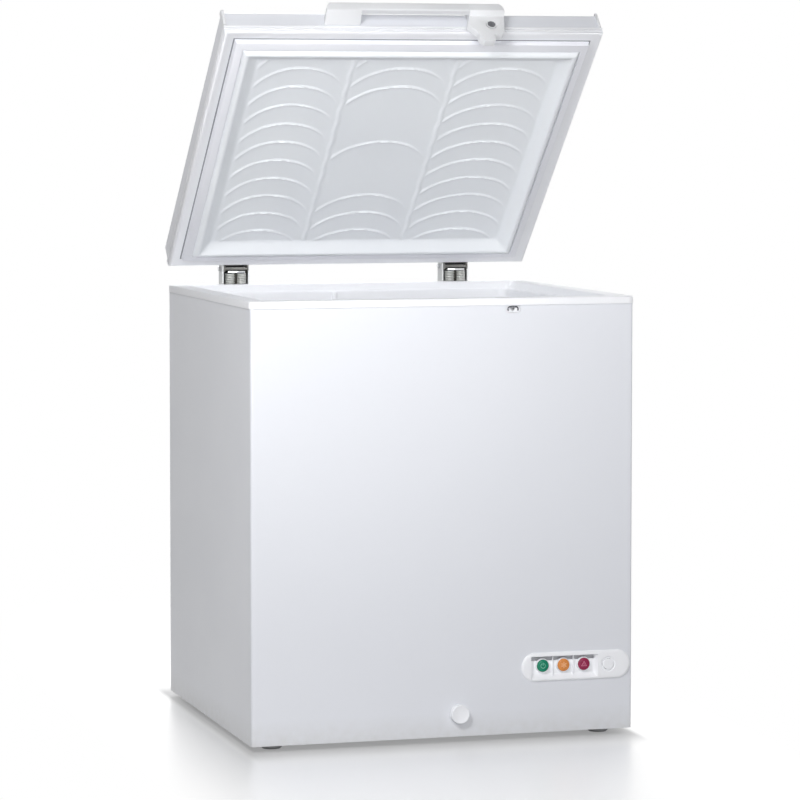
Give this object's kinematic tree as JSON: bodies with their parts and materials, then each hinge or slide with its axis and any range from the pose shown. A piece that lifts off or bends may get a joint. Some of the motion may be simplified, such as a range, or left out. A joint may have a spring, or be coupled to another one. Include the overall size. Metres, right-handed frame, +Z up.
{
  "type": "laboratory chest freezer",
  "caption": "Spark-free laboratory chest freezer: insulated well with raised machine step, control panel and a lid held open by counterbalanced hinges.",
  "frame": {"origin": "on the floor, under the middle of the whole with the lid at its rest angle, hinges included", "axes": "+X to the right seen from the front, +Y to the back where the hinges are, +Z up"},
  "size_m": [0.771, 0.733, 1.4138],
  "materials": {
    "white_enamel": "satin",
    "zinc_sheet": "satin",
    "white_plastic": "satin",
    "lid_plastic": "satin",
    "grey_gasket": "matte",
    "liner_enamel": "satin",
    "foam": "matte",
    "dark_plastic": "matte",
    "green_lens": "gloss",
    "amber_lens": "gloss",
    "red_lens": "gloss",
    "chrome_steel": "polished",
    "spring_steel": "satin",
    "black_rubber": "matte",
    "black_steel": "satin",
    "copper": "satin",
    "board": "matte"
  },
  "bodies": {
    "cabinet": {"outer_wrap": "white_enamel", "rear_panel": "zinc_sheet", "rear_cover": "zinc_sheet", "cable_gland": "dark_plastic", "base_tray": "zinc_sheet", "foot_front_left": "black_rubber", "foot_front_right": "black_rubber", "foot_rear_left": "black_rubber", "foot_rear_right": "black_rubber", "inner_liner": "liner_enamel", "foam_insulation": "foam", "top_rim": "white_plastic", "sensor_conduit": "white_plastic", "control_bezel": "white_plastic", "power_lamp": "green_lens", "alarm_lamp": "red_lens", "quick_freeze_switch": "dark_plastic", "lamp_board": "board", "thermostat_body": "dark_plastic", "control_box": "dark_plastic", "drain_tube": "dark_plastic", "machine_bulkhead": "zinc_sheet", "side_grille": "white_plastic", "compressor": "black_steel", "compressor_grommets": "black_rubber", "compressor_rails": "zinc_sheet", "start_relay": "dark_plastic", "filter_drier": "copper", "refrigerant_tubes": "copper", "keeper_cup": "dark_plastic", "lock_strike": "chrome_steel", "hinge_base_left": "zinc_sheet", "hinge_pin_left": "chrome_steel", "hinge_bush_left": "dark_plastic", "hinge_springs_left": "spring_steel", "hinge_base_right": "zinc_sheet", "hinge_pin_right": "chrome_steel", "hinge_bush_right": "dark_plastic", "hinge_springs_right": "spring_steel"},
    "lid": {"lid_shell": "white_enamel", "lid_frame": "lid_plastic", "lid_gasket": "grey_gasket", "lid_liner": "lid_plastic", "lid_foam": "foam", "lid_cap_left": "white_plastic", "lid_cap_right": "white_plastic", "lid_handle": "lid_plastic", "lock_housing": "lid_plastic", "hinge_leaf_left": "zinc_sheet", "hinge_leaf_right": "zinc_sheet"},
    "lock_barrel": {"lock_cylinder": "chrome_steel"},
    "lock_bolt": {"lock_bolt": "chrome_steel"},
    "quick_freeze_button": {"quick_freeze_button": "amber_lens"},
    "thermostat_knob": {"thermostat_knob": "white_plastic"},
    "drain_cap": {"drain_cap": "white_plastic"},
    "drain_plug": {"drain_plug": "black_rubber"},
    "hinge_follower_left": {"hinge_follower_left": "chrome_steel"},
    "hinge_follower_right": {"hinge_follower_right": "chrome_steel"}
  },
  "joints": [
    {"name": "lid_hinge", "type": "hinge", "parent": "cabinet", "child": "lid", "pos_m": [0, 0.355, 0.8803], "axis": [-1, 0, 0], "range_deg": [-43.5, 41.5]},
    {"name": "hinge_follower_left_slide", "type": "slide", "parent": "cabinet", "child": "hinge_follower_left", "axis": [0, 0, 1], "range_m": [-0.0168, 0.016], "deforming": ["hinge_springs_left"]},
    {"name": "hinge_follower_right_slide", "type": "slide", "parent": "cabinet", "child": "hinge_follower_right", "axis": [0, 0, 1], "range_m": [-0.0168, 0.016], "deforming": ["hinge_springs_right"]},
    {"name": "lock_barrel_turn", "type": "hinge", "parent": "lid", "child": "lock_barrel", "pos_m": [0.147, -0.18509, 1.37311], "axis": [0, -0.7254, 0.6884], "range_deg": [0, 90]},
    {"name": "lock_bolt_slide", "type": "slide", "parent": "lid", "child": "lock_bolt", "axis": [0, 0.7254, -0.6884], "range_m": [0, 0.011]},
    {"name": "quick_freeze_press", "type": "slide", "parent": "cabinet", "child": "quick_freeze_button", "axis": [0, 1, 0], "range_m": [0, 0.0025], "stiffness_N_per_m": 400, "springref_m": -0.002},
    {"name": "thermostat_turn", "type": "hinge", "parent": "cabinet", "child": "thermostat_knob", "pos_m": [0.33, -0.3585, 0.139], "axis": [0, -1, 0], "range_deg": [-135, 135]},
    {"name": "drain_cap_pull", "type": "slide", "parent": "cabinet", "child": "drain_cap", "axis": [0, -1, 0], "range_m": [0, 0.03]},
    {"name": "drain_plug_lift", "type": "slide", "parent": "cabinet", "child": "drain_plug", "axis": [0, 0, 1], "range_m": [0, 0.02]}
  ],
  "couplings": [
    {"joint": "hinge_follower_left_slide", "follows": "lid_hinge", "m_per_rad": 0.02198},
    {"joint": "hinge_follower_right_slide", "follows": "lid_hinge", "m_per_rad": 0.02198},
    {"joint": "lock_bolt_slide", "follows": "lock_barrel_turn", "m_per_rad": 0.007002}
  ]
}
